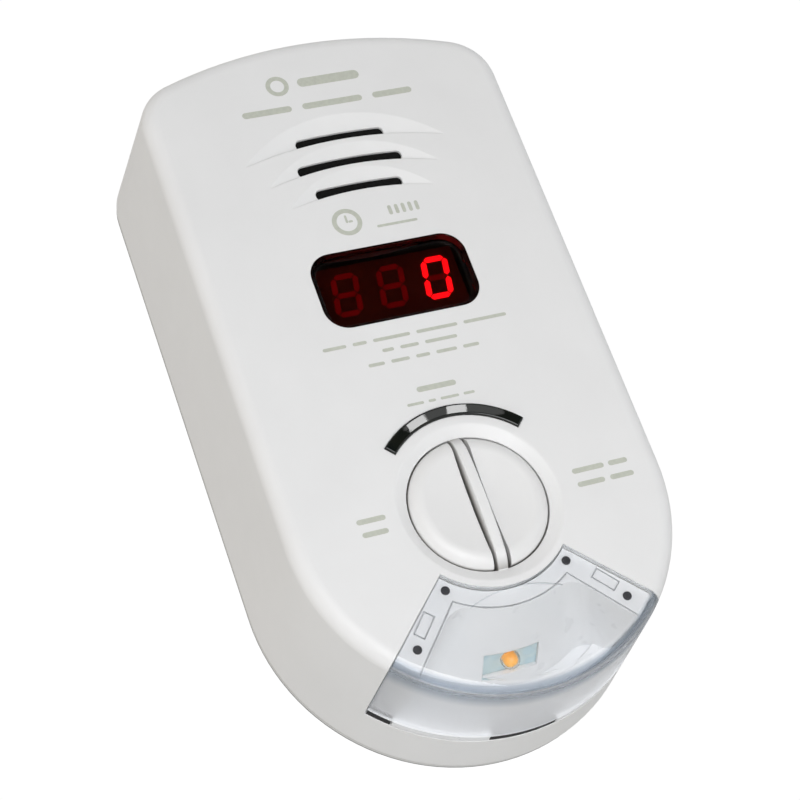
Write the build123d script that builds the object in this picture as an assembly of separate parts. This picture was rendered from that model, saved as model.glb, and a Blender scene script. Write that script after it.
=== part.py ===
from build123d import *
import os
from math import atan2, cos, degrees, radians, sin, sqrt, tan

# Plug-in carbon monoxide alarm with a digital display, two half-round buttons and a night light.
#
# Frame: +Z up as plugged in, -Y out of the wall towards the room, X across.
# The origin is on the wall, midway between the two plug blades.
# Depths are measured from the front face back towards the wall, and sketches facing the room
# have their origin on the axis of the two buttons.

# Case
DEPTH = 36.9           # front face to wall
BUTTONS_Z = -50.0      # axis of the buttons below the plug
HALF_WIDTH = 40.0      # outline at the fold between the face and the sides
CORNER_R = 11.0        # upper corners
CROWN_R = 100.8        # shallow arc along the top
PEAK = 112.8           # top of the outline above the buttons
FOLD_R = 3.3           # rounding between the face and the sides
FOLD_DEPTH = 3.0       # depth at which the outline above is taken
TAPER = 3.84           # draft of the sides, degrees
WALL = 2.2
SEAM = 35.1            # joint between housing and rear cover
REAR_INSET = 0.3       # step from the housing's side to the rear cover's rim
SEAM_GAP = 0.3         # shadow line between the two
REAR_INSIDE = 34.7     # inner face of the rear cover
GAP = 0.1              # between parts that are fastened together

# Buttons and alarm light, about the buttons' axis
BUTTON_R = 14.1
BUTTON_HOLE_R = 14.45
DISH_R = 16.8
DISH_DEPTH = 1.45
CREST_R = 11.3
CREST_DEPTH = -0.4     # proud of the face
CENTRE_DEPTH = 0.45
SHOULDER_R = 3.0
LIP_BACK = 3.0         # back of the housing's lip round the buttons
BUTTON_GAP = 0.2       # from that lip to the button's flange at rest
TRAVEL = 0.8
PLUNGER_BACK = 10.4
RIB_HALF = 1.1
RIB_ARCH = [(0.0, -1.5), (5.5, -1.33), (10.6, -0.85), (13.0, 0.05)]   # radius, depth
BUTTON_EDGE = 1.85     # straight edge of each button from the middle
STEM_X = 7.9
ARC_IN, ARC_OUT, ARC_HALF = 18.75, 21.25, 44.8

# Display
DISPLAY_Z = 51.05
DISPLAY_SIZE = (34.1, 17.5)
DISPLAY_CORNER = 5.0
DIGITS_Z = 51.3
DIGIT_PITCH = 10.0
DIGIT_SIZE = (6.0, 9.9)
SEGMENT = 1.25
SLANT = 9.0            # degrees
MODULE_FRONT, MODULE_BACK = 3.3, 11.3

# Gills: half-width and height of the ends, peaks of the lower and upper arcs, slot half-length
GILLS = [
    (22.5, 83.2, 86.2, 92.5, 8.7),
    (19.0, 77.2, 79.8, 85.3, 10.5),
    (16.0, 71.5, 73.4, 79.0, 8.5),
]
GILL_SLOPE = 0.3
SLOT_WIDTH = 2.4
SCREEN = (3.3, 4.2)    # horn screen behind the gills
HORN_Z = 81.5
HORN_R = 17.5

# Night light, about the buttons' axis
LENS_IN = 18.2
LENS_HALF = 45.6       # degrees each side of straight down
LENS_T = 1.4
LENS_BACK = 20.7       # depth of the lens's lower edge
LENS_SLOT = 22.9       # depth at which the housing starts again
FLANGE = (1.9, 3.1)    # reflector flange under the lens
LEDGE = (3.2, 5.0)     # housing ledge under that flange
SCOOP_APEX = -5.35     # where the scoop's two sides would meet
SCOOP_HALF = 42.1
SCOOP_IN = 22.8        # scoop floor's radius at the flange
SCOOP_GROWTH = 0.4835  # radius gained per depth down the floor
SCOOP_BACK = 21.5
SCOOP_CORNER = 5.0
RIVETS = [(12.8, -15.8), (22.1, -25.8)]
LATCH_R, LATCH_ANGLE = 28.7, 41.8    # latches beside the lens's straight edges
LATCH_SIZE = (4.8, 1.95)
LIP_ANGLE, LIP_HALF = 24.0, 13.8     # two lips that close the gap below the lens
GROOVE = 0.26          # width of the fine grooves in the lens and the flange
SHINE_DEPTH = 15.3     # depth of the lamp's window down the scoop's floor
SHINE_SIZE = (11.8, 5.9)
LED_DOME, LED_CORE = 1.95, 1.5

# Board and what stands on it
BOARD = (12.0, 13.6)
BOARD_HALF, BOARD_LOW, BOARD_HIGH = 29.5, -11.0, 99.0
POSTS = [(25.6, 62.0), (25.6, -6.0)]
BOSSES = [(33.3, 93.0), (33.3, -4.0)]
CELL_Z, CELL_DEPTH, CELL_R = 18.5, 21.6, 7.0
BATTERY_Z, BATTERY_DEPTH, BATTERY_R = 78.0, 23.4, 8.5
LED_R, LED_ANGLES = 20.0, (-30.0, 0.0, 30.0)

# Plug: two flat blades of the usual North American size
BLADE = (1.5, 6.35, 17.0)
BLADE_PITCH = 12.7
INSERT_SIZE = (27.0, 21.0)


def facing(depth):
    """Sketch plane facing the room at a depth behind the face, centred on the buttons' axis."""
    return Plane(origin=(0, depth - DEPTH, BUTTONS_Z), x_dir=(1, 0, 0), z_dir=(0, -1, 0))


# Half-plane through the buttons' axis: first coordinate is the radius, second the depth.
SECTION = Plane(origin=(0, -DEPTH, BUTTONS_Z), x_dir=(1, 0, 0), z_dir=(0, 0, 1))
BUTTON_AXIS = Axis((0, 0, BUTTONS_Z), (0, 1, 0))


def slab(shape, front, back, taper=0.0):
    """A sketch as a solid between two depths, drawn at the back and narrowing to the front."""
    return extrude(facing(back) * shape, back - front, taper=taper)


def rod(x, z, radius, front, back):
    return slab(Pos(x, z) * Circle(radius), front, back)


def ring(x, z, outer, inner, front, back):
    return slab(Pos(x, z) * (Circle(outer) - Circle(inner)), front, back)


def block(x, z, width, height, front, back):
    return slab(Pos(x, z) * Rectangle(width, height), front, back)


def box_of(size, corner_r):
    return RectangleRounded(size[0], size[1], corner_r)


def both_sides(points):
    """Each point with its mirror image in the middle plane."""
    return [(side * x, z) for side in (-1, 1) for x, z in points]


def case_outline(grow):
    """Outline of the case: a half circle below, straight sides and a shallow arc on top."""
    half, corner, crown = HALF_WIDTH + grow, CORNER_R + grow, CROWN_R + grow
    centre_z = PEAK - CROWN_R
    corner_x = HALF_WIDTH - CORNER_R
    corner_z = centre_z + sqrt((CROWN_R - CORNER_R) ** 2 - corner_x**2)
    turn = atan2(corner_z - centre_z, corner_x)
    mid = (corner_x + corner * cos(turn / 2), corner_z + corner * sin(turn / 2))
    end = (crown * cos(turn), centre_z + crown * sin(turn))
    edges = [
        ThreePointArc((-half, 0), (0, -half), (half, 0)),
        Line((half, 0), (half, corner_z)),
        ThreePointArc((half, corner_z), mid, end),
        ThreePointArc(end, (0, centre_z + crown), (-end[0], end[1])),
        ThreePointArc((-end[0], end[1]), (-mid[0], mid[1]), (-half, corner_z)),
        Line((-half, corner_z), (-half, 0)),
    ]
    return make_face(edges)


def case_block(inset, front, back, fold=0.0):
    """Solid with the case's tapered sides moved in by inset, its front edge rounded by fold."""
    grow = (back - FOLD_DEPTH) * tan(radians(TAPER)) - inset
    body = slab(case_outline(grow), front, back, taper=TAPER)
    if fold:
        body = fillet(body.faces().sort_by(Axis.Y)[0].edges(), fold)
    return body


def sector(inner, outer, half_angle, middle=-90.0):
    """Part of a ring, half_angle degrees each side of a middle direction."""
    inner_arc = CenterArc((0, 0), inner, middle - half_angle, 2 * half_angle)
    outer_arc = CenterArc((0, 0), outer, middle - half_angle, 2 * half_angle)
    sides = [Line(inner_arc @ 0, outer_arc @ 0), Line(inner_arc @ 1, outer_arc @ 1)]
    return make_face([inner_arc, outer_arc, *sides])


def frustum(front, front_r, back, back_r, x=0.0, z=0.0):
    """A cone square to the face."""
    return facing((front + back) / 2) * Pos(x, z, 0) * Cone(back_r, front_r, back - front)


def cap_profile(edge, back):
    """Half section of a button's cap: a shallow hollow, a rounded crest and a straight skirt."""

    def crest_depth(radius):
        return CREST_DEPTH + SHOULDER_R - sqrt(SHOULDER_R**2 - (radius - CREST_R) ** 2)

    centre = CENTRE_DEPTH
    start = CREST_R - 0.24 * SHOULDER_R
    start_depth = crest_depth(start)
    quarter_depth = centre - 0.25 * (centre - start_depth)
    edge_depth = crest_depth(edge)
    bend = CREST_R + 0.6 * (edge - CREST_R)
    bend_depth = crest_depth(bend)
    edges = [
        ThreePointArc((0, centre), (start / 2, quarter_depth), (start, start_depth)),
        ThreePointArc((start, start_depth), (bend, bend_depth), (edge, edge_depth)),
        Line((edge, edge_depth), (edge, back)),
        Line((edge, back), (0, back)),
        Line((0, back), (0, centre)),
    ]
    return SECTION * make_face(edges)


def rib_profile(edge, back):
    """Half section of the rib between the buttons: a shallow arch, rounded down to the dish."""
    middle, bend, shoulder, drop = RIB_ARCH
    edges = [
        ThreePointArc(middle, bend, shoulder),
        ThreePointArc(shoulder, drop, (edge, DISH_DEPTH)),
        Line((edge, DISH_DEPTH), (edge, back)),
        Line((edge, back), (0, back)),
        Line((0, back), middle),
    ]
    return SECTION * make_face(edges)


def arc_through(half, end_z, peak_z):
    """Radius and centre height of the arc through two level ends and a peak."""
    rise = peak_z - end_z
    radius = (half**2 + rise**2) / (2 * rise)
    return radius, peak_z - radius


def is_circle(edge, radius):
    return edge.geom_type == GeomType.CIRCLE and abs(edge.radius - radius) < 0.05


def is_rib_edge(edge):
    """Long front edges of the rib between the buttons."""
    middle = edge.center()
    return abs(abs(middle.X) - RIB_HALF) < 0.01 and edge.length > 3 and middle.Y < 2.6 - DEPTH


def gill_cut(half, end_z, low_z, high_z, slot_half):
    """One gill: a crescent ramp deepening down to its lower arc, and a slot along that arc."""
    low_r, low_c = arc_through(half, end_z, low_z)
    ramp = gill_cone(half, end_z, high_z, 0) - rod(0, low_c, low_r, -1, 5)
    return ramp, slab(gill_slot(half, end_z, low_z, slot_half, SLOT_WIDTH), -1, 5)


def gill_cone(half, end_z, high_z, sunk):
    """Everything in front of a gill's ramp, or of a surface sunk behind that ramp."""
    radius, centre = arc_through(half, end_z, high_z)
    front, back = -0.5, 3.2
    front_r = radius - (front - sunk) / GILL_SLOPE
    back_r = radius - (back - sunk) / GILL_SLOPE
    return frustum(front, front_r, back, back_r, z=centre)


def gill_slot(half, end_z, low_z, slot_half, width):
    """Outline of a gill's slot, or of a narrower strip along the slot's middle."""
    low_r, low_c = arc_through(half, end_z, low_z)
    centre_r = low_r + SLOT_WIDTH / 2
    spread = degrees(slot_half / centre_r)
    line = CenterArc((0, low_c), centre_r, 90 - spread, 2 * spread)
    return SlotArc(line, width)


def scoop_plan(margin):
    """Plan of the night light's scoop, its two sides moved out by margin."""
    apex = SCOOP_APEX + margin / sin(radians(SCOOP_HALF))
    return Pos(0, apex) * sector(6, 70, SCOOP_HALF)


def scoop_cone(thickness):
    """Everything on the buttons' side of the scoop's floor, less a floor thickness."""
    front, back = FLANGE[0] - 1.5, SCOOP_BACK + 1.5
    at_front = SCOOP_IN + (front - FLANGE[1]) * SCOOP_GROWTH - thickness
    at_back = SCOOP_IN + (back - FLANGE[1]) * SCOOP_GROWTH - thickness
    return frustum(front, at_front, back, at_back)


def slope_plane():
    """Plane on the scoop's floor where the light shines through, facing out of the scoop."""
    radius = SCOOP_IN + (SHINE_DEPTH - FLANGE[1]) * SCOOP_GROWTH
    angle = atan2(SCOOP_GROWTH, 1.0)
    place = (0, SHINE_DEPTH - DEPTH, BUTTONS_Z - radius)
    return Plane(origin=place, x_dir=(1, 0, 0), z_dir=(0, -sin(angle), -cos(angle)))


def on_slope(x, y, out, size):
    """A box on the scoop's floor: its middle at x, y and its outer face at a height out."""
    return slope_plane() * Pos(x, y, out - size[2] / 2) * Box(*size)


def latch_grooves():
    """Outlines of the two latches in the reflector's flange."""
    grooves = []
    for side in (-1, 1):
        outline = Rectangle(LATCH_SIZE[1] + 2 * GROOVE, LATCH_SIZE[0] + 2 * GROOVE)
        outline -= Rectangle(*reversed(LATCH_SIZE))
        grooves.append(Rot(0, 0, side * LATCH_ANGLE) * Pos(0, -LATCH_R) * outline)
    return grooves


def is_scoop_corner(edge):
    """Edges where the scoop's floor runs into its two side walls."""
    ends = edge @ 0, edge @ 1
    return abs(ends[0].Y - ends[1].Y) > 12 and abs(edge.center().X) > 5


def scoop_mouth(margin):
    """Outline of the scoop where it opens through the flange, moved out by margin."""
    upper = SCOOP_IN - (FLANGE[1] - FLANGE[0]) * SCOOP_GROWTH
    return scoop_plan(margin) - Circle(upper - margin)


def seal_strips(grow):
    """Plans of the three seals below the lens: one between the lips, one beyond each."""
    side_half = (LENS_HALF - LIP_ANGLE - LIP_HALF) / 2
    side_middle = LENS_HALF - side_half
    turn = degrees(grow / 39.5)
    strips = [sector(39.5 - grow, 70, LIP_ANGLE - LIP_HALF - 0.3 + turn)]
    for middle in (-90 - side_middle, -90 + side_middle):
        strips.append(sector(39.5 - grow, 70, side_half - 0.4 + turn, middle))
    return strips


# Case parts


def night_light_bay():
    """Walls inside the housing round the night light: a ledge, two partitions and a shelf."""
    bay = slab(sector(17.2, 70, 49.0), 2.0, LENS_SLOT + 1.2)
    bay &= case_block(WALL - 0.3, 1.0, SEAM)
    bay -= slab(sector(14, 80, LENS_HALF), LEDGE[1], LENS_SLOT)
    bay -= rod(0, 0, 30.0, LENS_SLOT - 0.5, LENS_SLOT + 2)
    return bay


def housing_shell():
    """Walls of the housing with the horn's collar, the buttons' boss, posts and screw bosses."""
    body = case_block(0, 0, SEAM, FOLD_R) - case_block(WALL, WALL, SEAM + 5, FOLD_R - 1.5)
    body += rod(0, HORN_Z, HORN_R + 1.9, 1.5, 4.2)
    body += ring(0, HORN_Z, HORN_R + 1.9, HORN_R + 0.2, 4.0, 9.0)
    body += rod(0, 0, 17.4, 1.5, 5.4)
    body += night_light_bay()
    for x, z in both_sides(POSTS):
        body += rod(x, z, 3.0, 1.5, BOARD[0] - 0.05)
        body -= rod(x, z, 1.05, 4.0, BOARD[0] + 1)
    bosses = [rod(x, z, 3.2, 1.5, REAR_INSIDE - 0.1) for x, z in both_sides(BOSSES)]
    bosses += [block(x * 1.08, z, 4.5, 1.6, 1.5, 30) for x, z in both_sides(BOSSES)]
    for boss in bosses:
        body += boss & case_block(1.0, 1.0, SEAM)
    for x, z in both_sides(BOSSES):
        body -= rod(x, z, 1.3, 20, SEAM)
    return body


def with_dish(body):
    """Cuts the buttons' dish and hole, and adds the rib between the buttons."""
    well = rod(0, 0, BUTTON_HOLE_R, -2, LIP_BACK)
    well += frustum(-0.5, DISH_R + 0.8, DISH_DEPTH, BUTTON_HOLE_R)
    well += rod(0, 0, 15.9, LIP_BACK, 7)
    rib = revolve(rib_profile(BUTTON_HOLE_R + 0.05, 5.4), BUTTON_AXIS)
    rib &= block(0, 0, 2 * RIB_HALF, 40, -3, 8)
    rib = fillet(rib.edges().filter_by(is_rib_edge), 0.35)
    rib += block(0, 0, 2 * RIB_HALF, 33, LIP_BACK - 0.5, 5.4)
    body -= well
    dish_rim = body.edges().filter_by(lambda e: is_circle(e, DISH_R))
    return fillet(dish_rim, 1.0) + rib


def with_face_openings(body):
    """Cuts the openings of the alarm light, the display and the gills."""
    body -= slab(sector(ARC_IN - GAP / 2, ARC_OUT + GAP / 2, ARC_HALF + 0.2, 90), -1, 7)
    body -= slab(Pos(0, DISPLAY_Z) * box_of(DISPLAY_SIZE, DISPLAY_CORNER), -1, 7)
    for gill in GILLS:
        for cut in gill_cut(*gill):
            body -= cut
    return body - rod(0, HORN_Z, HORN_R - 0.3, SCREEN[0] - GAP, 4.3)


def with_night_light_opening(body):
    """Cuts the opening of the night light in the face and the lower side."""
    body -= slab(sector(LENS_IN, 70, LENS_HALF), -1, LEDGE[0])
    side_opening = slab(sector(30, 70, LENS_HALF), 2.0, LENS_SLOT)
    body -= side_opening - case_block(WALL, 1.0, SEAM)
    through = (LEDGE[0] - 0.5, LEDGE[1] + 0.5)
    body -= slab(scoop_plan(1.5), *through) - rod(0, 0, 21.3, 3, 7)
    body -= slab(sector(30, 70, LENS_HALF), *through) - case_block(LENS_T + 1.8, 1.0, SEAM)
    for x, z in both_sides(RIVETS):
        body -= rod(x, z, 0.65, 3, 7)
    return body


def front_housing():
    body = with_dish(housing_shell())
    return with_night_light_opening(with_face_openings(body))


def rear_cover():
    """Back of the case, with a lip inside the housing and openings for plug, screws and air."""
    rim = case_block(REAR_INSET, SEAM + SEAM_GAP, DEPTH)
    plate = case_block(WALL + 0.2, REAR_INSIDE, SEAM + 0.5)
    lip = case_block(WALL + 0.2, 32.6, REAR_INSIDE + 0.2)
    lip -= case_block(WALL + 1.7, 32.0, REAR_INSIDE + 1)
    for x, z in both_sides(BOSSES):
        lip -= rod(x, z, 3.6, 30, REAR_INSIDE)
    body = rim + plate + lip
    for x, z in both_sides(BOSSES):
        body -= rod(x, z, 3.1, DEPTH - 1.5, DEPTH + 1)
        body -= rod(x, z, 1.5, 30, DEPTH + 1)
    body -= slab(Pos(0, -BUTTONS_Z) * box_of(INSERT_SIZE, 3.0), 30, DEPTH + 1)
    vent = SlotOverall(17.0, 1.8)
    for side in (-1, 1):
        for row in range(4):
            body -= slab(Pos(side * 12.5, 15.5 + 3.6 * row) * vent, 30, DEPTH + 1)
            body -= slab(Pos(side * 12.5, 81.0 + 3.6 * row) * vent, 30, DEPTH + 1)
    body -= slab(Pos(0, -13.0) * box_of((47.0, 35.0), 2.5), DEPTH - 0.3, DEPTH + 1)
    return body


def rating_label():
    return slab(Pos(0, -13.0) * box_of((46.4, 34.4), 2.2), DEPTH - 0.3, DEPTH - 0.1)


def screws(points, head_r, head_h, shank_r, length, head_front):
    """Pan-head screws driven towards the face, each with a cross recess in its head."""
    parts = []
    for x, z in points:
        head = rod(x, z, head_r, head_front, head_front + head_h)
        head = fillet(head.edges().sort_by(Axis.Y)[-1], 0.4 * head_h)
        cross = block(x, z, 1.2 * head_r, 0.28 * head_r, head_front + head_h / 2, head_front + 5)
        cross += block(x, z, 0.28 * head_r, 1.2 * head_r, head_front + head_h / 2, head_front + 5)
        shank = rod(x, z, shank_r, head_front - length, head_front)
        parts.append(head - cross + shank)
    return parts


def cover_screws():
    return screws(both_sides(BOSSES), 2.9, 1.3, 1.2, 12.0, DEPTH - 1.45)


def board_screws():
    return screws(both_sides(POSTS), 2.4, 1.5, 0.95, 7.0, BOARD[1] + 0.05)


# Plug


def plug_insert():
    """Block that carries the blades, with a flange behind the rear cover."""
    centre = -BUTTONS_Z
    body = slab(Pos(0, centre) * box_of((26.8, 20.8), 2.9), 28.0, DEPTH)
    body += slab(Pos(0, centre) * box_of((30.0, 24.0), 3.0), 32.4, REAR_INSIDE - 0.1)
    for side in (-1, 1):
        body -= block(side * BLADE_PITCH / 2, centre, 1.6, 6.45, 20, DEPTH + 1)
    return body


def plug_blades():
    """Two blades with rounded tips, a hole near each tip and a cross tail inside the case."""
    thick, wide, length = BLADE
    blades = []
    for side in (-1, 1):
        x = side * BLADE_PITCH / 2
        outline = Plane.YZ.offset(x - thick / 2)
        middle = (length - 9.4) / 2
        blade = extrude(outline * Pos(middle, 0) * Rectangle(length + 9.4, wide), thick)
        tip = blade.edges().filter_by(Axis.X).sort_by(Axis.Y)[-2:]
        blade = fillet(tip, 2.6)
        rims = blade.faces().sort_by(Axis.Y)[-1].edges().filter_by(Axis.Z)
        blade = chamfer(rims, 0.4)
        blade -= extrude(outline * Pos(11.9, 0) * Circle(1.55), thick)
        tail = Box(thick, 2.0, 9.0)
        blades.append(blade + Pos(x, 27.9 - DEPTH - 1.2, 0) * tail)
    return blades


def contact_strips():
    """Two brass strips standing on the board, each bearing on a blade's tail."""
    strips = []
    for side in (-1, 1):
        x = side * (BLADE_PITCH / 2 + BLADE[0] / 2 + 0.4)
        strip = block(x, -BUTTONS_Z, 0.6, 5.0, BOARD[1] + 0.05, 27.6)
        foot = block(x + side * 1.3, -BUTTONS_Z, 3.2, 5.0, BOARD[1] + 0.05, BOARD[1] + 0.65)
        strips.append(strip + foot)
    return strips


# Display


def segment_shapes():
    """The seven segments of a digit about its middle: three level bars, then four upright."""
    half_w, half_h = DIGIT_SIZE[0] / 2, DIGIT_SIZE[1] / 2
    t = SEGMENT / 2
    reach_x, reach_z = half_w - t, half_h - t
    space = 0.14
    lean = tan(radians(SLANT))
    shapes = []
    for z in (reach_z, 0.0, -reach_z):
        a = reach_x - space
        level = [(-a, z), (-a + t, z - t), (a - t, z - t), (a, z), (a - t, z + t), (-a + t, z + t)]
        shapes.append(level)
    for x in (-reach_x, reach_x):
        for low in (space, space - reach_z):
            high = low + reach_z - 2 * space
            upright = [
                (x, high),
                (x - t, high - t),
                (x - t, low + t),
                (x, low),
                (x + t, low + t),
                (x + t, high - t),
            ]
            shapes.append(upright)
    slanted = [[(x + z * lean, z) for x, z in shape] for shape in shapes]
    return [Polygon(*shape, align=None) for shape in slanted]


def digit_segments(column, lit):
    """Segments of one digit. The right-hand digit shows a nought, so its middle bar is unlit."""
    wanted = []
    for index, shape in enumerate(segment_shapes()):
        is_lit = column == 1 and index != 1
        if is_lit == lit:
            wanted.append(Pos(column * DIGIT_PITCH, DIGITS_Z) * shape)
    return wanted


def all_segments(lit):
    shapes = [shape for column in (-1, 0, 1) for shape in digit_segments(column, lit)]
    return [slab(shape, MODULE_FRONT - 0.05, MODULE_FRONT + 0.4) for shape in shapes]


def display_module():
    body = block(0, DISPLAY_Z, 30.4, 14.0, MODULE_FRONT, MODULE_BACK)
    for lit in (True, False):
        for segment in all_segments(lit):
            body -= segment
    return body


def display_pins():
    rows = [DISPLAY_Z - 5.08, DISPLAY_Z + 5.08]
    xs = [2.54 * (column - 2.5) for column in range(6)]
    return [rod(x, z, 0.25, MODULE_BACK, BOARD[1] + 1.0) for x in xs for z in rows]


def display_window():
    """Dished window: its rim level with the face, its middle sunk behind sloping sides."""
    width, height = DISPLAY_SIZE
    outer = box_of((width - GAP, height - GAP), DISPLAY_CORNER - GAP / 2)
    body = slab(Pos(0, DISPLAY_Z) * outer, 0, 3.0)
    body += slab(Pos(0, DISPLAY_Z) * box_of((width + 3.4, height + 3.4), 6.0), WALL + 0.1, 3.0)
    depth, slope = 1.7, 27.0
    inset = 0.35 + depth * tan(radians(slope))
    floor = box_of((width - 2 * inset, height - 2 * inset), DISPLAY_CORNER - inset)
    hollow = slab(Pos(0, DISPLAY_Z) * floor, 0, depth, taper=-slope)
    return body - fillet(hollow.faces().sort_by(Axis.Y)[-1].edges(), 0.7)


# Alarm light


def alarm_light_lens():
    """Smoked arc, a little proud of the face with rounded edges, and a flange behind it."""
    bar = slab(sector(ARC_IN, ARC_OUT, ARC_HALF, 90), -0.45, 3.3)
    front = bar.faces().sort_by(Axis.Y)[0]
    bar = fillet(front.edges(), 0.4)
    return bar + slab(sector(18.05, 22.15, ARC_HALF + 2.4, 90), WALL + 0.1, 3.3)


def led_places():
    return [(LED_R * sin(radians(a)), LED_R * cos(radians(a))) for a in LED_ANGLES]


def alarm_leds():
    """Round 3 mm lamps with domed ends pointing at the arc."""
    lamps = []
    for x, z in led_places():
        lamp = rod(x, z, 1.5, 5.6, 9.0)
        lamp = fillet(lamp.edges().sort_by(Axis.Y)[0], 1.4)
        lamps.append(lamp + rod(x, z, 1.9, 8.2, 9.0))
    return lamps


def led_spacers():
    return [rod(x, z, 1.9, 9.0, BOARD[0]) for x, z in led_places()]


# Buttons


def button(side):
    """Half-round cap with a skirt, a retaining flange and a stem that presses its switch."""
    flange_front = LIP_BACK + BUTTON_GAP
    back = flange_front + 1.0
    cap = revolve(cap_profile(BUTTON_R, back), BUTTON_AXIS)
    cap += rod(0, 0, 15.4, flange_front, back)
    cap -= rod(0, 0, 12.2, 2.0, back + 1) & block(side * 20, 0, 2 * (20 - 3.2), 60, 0, 9)
    cap &= block(side * (BUTTON_EDGE + 10), 0, 20, 40, -3, 9)
    cap += rod(side * STEM_X, 0, 2.4, 1.5, 8.0)
    for angle in (45, 135):
        web = Rot(0, 0, angle) * Rectangle(7.0, 0.9)
        cap += slab(Pos(side * STEM_X, 0) * web, 1.8, 3.6)
    return cap


def test_hush_button():
    return button(-1)


def peak_level_button():
    return button(1)


def switch_bodies():
    """Two tact switches on the board, each bored for its plunger."""
    parts = []
    for side in (-1, 1):
        body = block(side * STEM_X, 0, 6.0, 6.0, 9.2, BOARD[0])
        body = fillet(body.edges().filter_by(Axis.Y), 0.5)
        parts.append(body - rod(side * STEM_X, 0, 1.8, 9.0, PLUNGER_BACK + TRAVEL + 0.4))
    return parts


def plunger(side):
    return rod(side * STEM_X, 0, 1.75, 8.0, PLUNGER_BACK)


def test_switch_plunger():
    return plunger(-1)


def peak_switch_plunger():
    return plunger(1)


# Night light


def night_light_lens():
    """Clear cover that wraps from the face round the case's lower edge, with a bowed fine line."""
    reach = sector(LENS_IN + 0.06, 70, LENS_HALF - 0.15)
    body = case_block(0, 0, SEAM, FOLD_R) & slab(reach, -1, LENS_BACK)
    body -= case_block(LENS_T, LENS_T, SEAM, FOLD_R - 1.4)
    bow = CenterArc((0, -42.75), 24.0, 66.5, 47)
    return body - slab(SlotArc(bow, GROOVE), -1, 0.2)


def night_light_reflector():
    """White scoop behind the lens: flange, conical floor, side walls, rear ledge and lips."""
    plan = sector(LENS_IN + 0.3, 70, LENS_HALF - 0.4)
    body = slab(plan, *FLANGE)
    skirt = slab(plan - scoop_plan(0.5), FLANGE[0], LENS_BACK - 0.4)
    body += skirt - case_block(LENS_T + 1.5, LENS_T, SEAM, FOLD_R - 2.4)
    body += slab(scoop_plan(1.1), FLANGE[0], SCOOP_BACK + 1.0) - scoop_cone(1.2)
    body &= case_block(LENS_T + 0.5, LENS_T + 0.3, SEAM, FOLD_R - 1.9)
    hollow = slab(scoop_plan(0.0), 1.0, SCOOP_BACK) - scoop_cone(0.0)
    body -= fillet(hollow.edges().filter_by(is_scoop_corner), SCOOP_CORNER)
    for strip in seal_strips(0.3):
        body -= slab(strip, LENS_BACK - 0.4, SCOOP_BACK + 2)
    for middle in (-90 - LIP_ANGLE, -90 + LIP_ANGLE):
        lip = slab(sector(34, 70, LIP_HALF, middle), LENS_BACK + 0.15, LENS_SLOT - 0.15)
        body += lip & case_block(0.12, 1.0, SEAM)
    body -= on_slope(0, 0, 3.0, (*SHINE_SIZE, 6.0))
    body -= on_slope(0, 0, -1.2, (13.8, 8.2, 3.0))
    for x, z in both_sides(RIVETS):
        body -= rod(x, z, 0.65, 1, 7)
    for outline in [scoop_mouth(0.25 + GROOVE) - scoop_mouth(0.25), *latch_grooves()]:
        body -= slab(outline, FLANGE[0] - 1, FLANGE[0] + 0.7)
    return body


def reflector_rivets():
    parts = []
    for x, z in both_sides(RIVETS):
        head = rod(x, z, 0.9, LENS_T + 0.06, FLANGE[0] - 0.02)
        head = fillet(head.edges().sort_by(Axis.Y)[0], 0.3)
        parts.append(head + rod(x, z, 0.6, FLANGE[0] - 0.02, 6.0))
    return parts


def light_seal():
    """Black strips that close the rest of the gap below the lens, between and beside the lips."""
    gap = case_block(0.2, 1.0, SEAM)
    return [slab(strip, LENS_BACK + GAP, LENS_SLOT - GAP) & gap for strip in seal_strips(0.0)]


def night_light_board():
    return on_slope(0, 0, -1.25, (13.4, 7.8, 1.0))


def night_light_led():
    """Clear domed shell of the lamp."""
    return lamp_dome(LED_DOME) - lamp_dome(LED_CORE + 0.05)


def led_phosphor():
    """Glowing core inside the lamp's dome."""
    return lamp_dome(LED_CORE)


def lamp_dome(radius):
    """A short round post with a half-round end, standing on the night light's board."""
    dome = Sphere(radius) & Pos(0, 0, radius) * Box(4 * radius, 4 * radius, 2 * radius)
    return slope_plane() * Pos(0, 0, -0.6) * (dome + Pos(0, 0, -0.3) * Cylinder(radius, 0.6))


# Board, horn, cell and battery


def main_board():
    corners = Pos(0, (BOARD_LOW + BOARD_HIGH) / 2) * RectangleRounded(
        2 * BOARD_HALF, BOARD_HIGH - BOARD_LOW, 6.0
    )
    body = slab(corners, *BOARD)
    for x, z in both_sides(POSTS):
        body -= rod(x, z, 1.3, 10, 15)
    for row in (-5.08, 5.08):
        for column in range(6):
            body -= rod(2.54 * (column - 2.5), DISPLAY_Z + row, 0.4, 10, 15)
    return body


def horn_screen():
    """Black gauze disc behind the gills, with a pad standing in each slot."""
    body = rod(0, HORN_Z, HORN_R - 0.5, *SCREEN)
    for half, end_z, low_z, high_z, slot_half in GILLS:
        pad = slab(gill_slot(half, end_z, low_z, slot_half, SLOT_WIDTH - 2 * GAP), 0, SCREEN[0] + 0.1)
        body += pad - gill_cone(half, end_z, high_z, 0.45)
    return body


def horn_cup():
    """Resonator of the horn, open to the gills through a port in its front."""
    body = rod(0, HORN_Z, HORN_R, 4.3, 10.4)
    body -= rod(0, HORN_Z, 11.8, 5.4, 8.4)
    body -= rod(0, HORN_Z, 13.6, 8.4, 11)
    return body - rod(0, HORN_Z, 4.5, 4, 6)


def piezo_disc():
    return rod(0, HORN_Z, 13.5, 8.4, 8.65)


def piezo_ceramic():
    return rod(0, HORN_Z, 9.5, 8.65, 8.85)


def horn_clamp_ring():
    return ring(0, HORN_Z, 13.55, 11.8, 8.67, 10.4)


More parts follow.
